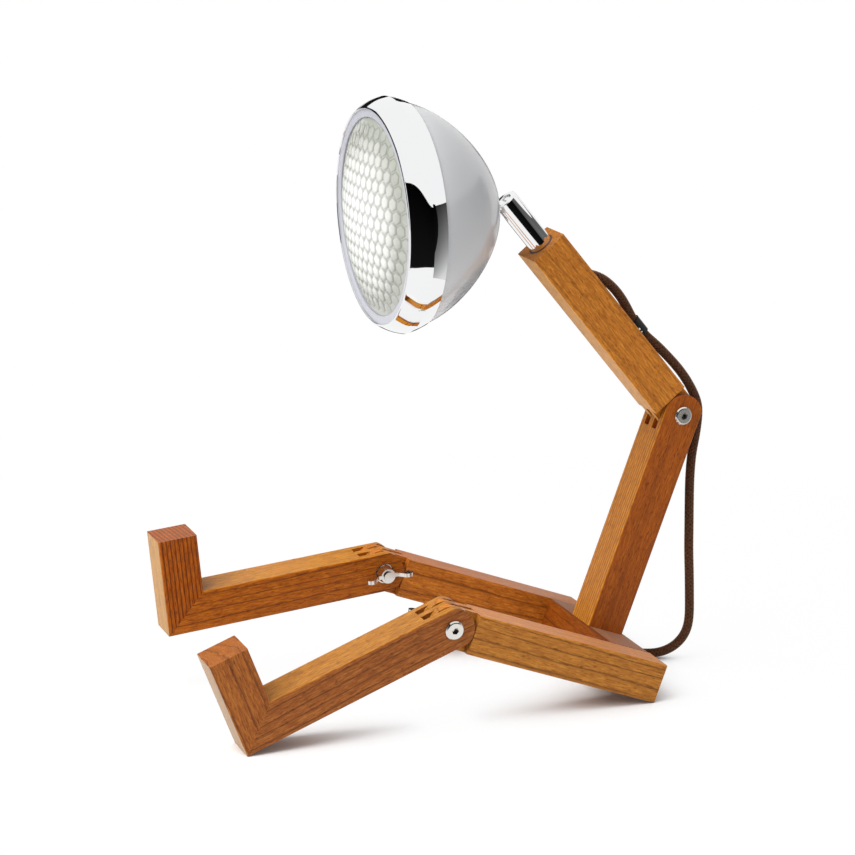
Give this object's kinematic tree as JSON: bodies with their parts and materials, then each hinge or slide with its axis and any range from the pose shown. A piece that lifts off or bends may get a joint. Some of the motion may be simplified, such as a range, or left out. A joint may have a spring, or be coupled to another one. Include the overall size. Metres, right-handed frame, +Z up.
{
  "type": "desk lamp",
  "caption": "Desk lamp shaped like a sitting robot: finger-jointed wooden sticks with wing-nut pivots, a round grey head with a chromed bezel and a honeycomb lens on a slotted neck tube, and a textile cord.",
  "frame": {"origin": "centre of the lamp's bounding box, without its free cord, at the surface it stands on", "axes": "+Z up, -Y the way the lamp looks, +X towards the lamp's own left side"},
  "size_m": [0.2558, 0.3502, 0.3746],
  "materials": {
    "thigh_wood": "oiled, warm orange brown with dark streaks",
    "torso_wood": "oiled, reddish brown",
    "arm_wood": "oiled, reddish brown",
    "shin_wood": "oiled, warm orange brown",
    "foot_wood": "oiled, orange brown, end grain on top",
    "dowel_wood": "plain",
    "nickel_steel": "bright nickel plate",
    "stem_steel": "polished",
    "spring_steel": "plain spring steel",
    "tube_chrome": "mirror polish",
    "shell_grey": "glossy light grey lacquer",
    "bezel_chrome": "mirror polish",
    "clip_chrome": "polished",
    "ring_grey": "satin grey",
    "lens_glass": "frosted, with a honeycomb on its inner face",
    "bulb_glass": "frosted",
    "reflector_aluminium": "bright",
    "holder_ceramic": "glazed",
    "black_rubber": "matt",
    "black_plastic": "matt",
    "white_plastic": "nylon",
    "lead_plastic": "sheathed lead",
    "brass": "turned",
    "pin_brass": "nickel plated",
    "cord_textile": "woven brown textile",
    "switch_brown": "satin",
    "rocker_brown": "gloss",
    "plug_brown": "satin"
  },
  "bodies": {
    "root": {"thigh_left": "thigh_wood", "thigh_right": "thigh_wood", "pelvis_block": "thigh_wood", "seat_dowels": "dowel_wood", "lower_torso": "torso_wood", "torso_dowels": "dowel_wood", "torso_screw": "nickel_steel", "elbow_bolt": "nickel_steel", "elbow_washer": "nickel_steel", "cord_elbow": "cord_textile", "cord_hang": "cord_textile", "cord_link": "cord_textile", "cord_coil": "cord_textile", "cord_tail": "cord_textile", "switch_base": "switch_brown", "switch_cover": "switch_brown", "plug_body": "plug_brown", "plug_pins": "pin_brass"},
    "shin_left": {"shin_left": "shin_wood", "foot_left": "foot_wood", "foot_dowel_left": "dowel_wood", "knee_bolt_left": "nickel_steel", "knee_washer_left": "nickel_steel"},
    "shin_right": {"shin_right": "shin_wood", "foot_right": "foot_wood", "foot_dowel_right": "dowel_wood", "knee_bolt_right": "nickel_steel", "knee_washer_right": "nickel_steel"},
    "upper_arm": {"upper_torso": "arm_wood", "neck_bush": "black_plastic", "cord_clip": "clip_chrome", "clip_screws": "nickel_steel", "cord_arm": "cord_textile"},
    "neck": {"neck_tube": "tube_chrome", "neck_sleeve": "brass", "neck_nut": "brass", "ball_seat": "white_plastic", "neck_lead": "lead_plastic"},
    "head": {"head_stem": "stem_steel", "head_washer": "stem_steel", "head_nut": "nickel_steel", "head_leads": "lead_plastic", "shell": "shell_grey", "bezel": "bezel_chrome", "lens_ring": "ring_grey", "lens": "lens_glass", "lens_gasket": "black_rubber", "reflector": "reflector_aluminium", "reflector_clips": "spring_steel", "lamp_holder": "holder_ceramic", "bulb": "bulb_glass"},
    "elbow_wingnut": {"elbow_wingnut": "nickel_steel"},
    "knee_wingnut_left": {"knee_wingnut_left": "nickel_steel"},
    "knee_wingnut_right": {"knee_wingnut_right": "nickel_steel"},
    "switch_rocker": {"switch_rocker": "rocker_brown"}
  },
  "joints": [
    {"name": "knee_left", "type": "hinge", "parent": "root", "child": "shin_left", "pos_m": [0.0615, -0.01963, 0.06315], "axis": [1, 0, 0], "range_deg": [-133.5, 50.5]},
    {"name": "knee_right", "type": "hinge", "parent": "root", "child": "shin_right", "pos_m": [-0.0615, -0.01963, 0.06315], "axis": [1, 0, 0], "range_deg": [-118, 66]},
    {"name": "elbow", "type": "hinge", "parent": "root", "child": "upper_arm", "pos_m": [0, 0.15851, 0.16509], "axis": [1, 0, 0], "range_deg": [-59.8, 32.2], "deforming": ["cord_elbow"]},
    {"name": "neck_swivel", "type": "hinge", "parent": "upper_arm", "child": "neck", "pos_m": [0, 0.06583, 0.27855], "axis": [0, -0.6326, 0.7745], "range_deg": [-165, 165]},
    {"name": "head_tilt", "type": "hinge", "parent": "neck", "child": "head", "pos_m": [0, 0.04464, 0.30449], "axis": [1, 0, 0], "range_deg": [-52.2, 37.8]},
    {"name": "wingnut_elbow", "type": "hinge", "parent": "root", "child": "elbow_wingnut", "pos_m": [-0.02, 0.15851, 0.16509], "axis": [-1, 0, 0], "continuous": true},
    {"name": "wingnut_knee_left", "type": "hinge", "parent": "shin_left", "child": "knee_wingnut_left", "pos_m": [0.042, -0.01963, 0.06315], "axis": [-1, 0, 0], "continuous": true},
    {"name": "wingnut_knee_right", "type": "hinge", "parent": "shin_right", "child": "knee_wingnut_right", "pos_m": [-0.042, -0.01963, 0.06315], "axis": [1, 0, 0], "continuous": true},
    {"name": "switch_rocker", "type": "hinge", "parent": "root", "child": "switch_rocker", "pos_m": [-0.053, 0.1295, 0.009], "axis": [0, 1, 0], "range_deg": [0, 16]}
  ]
}
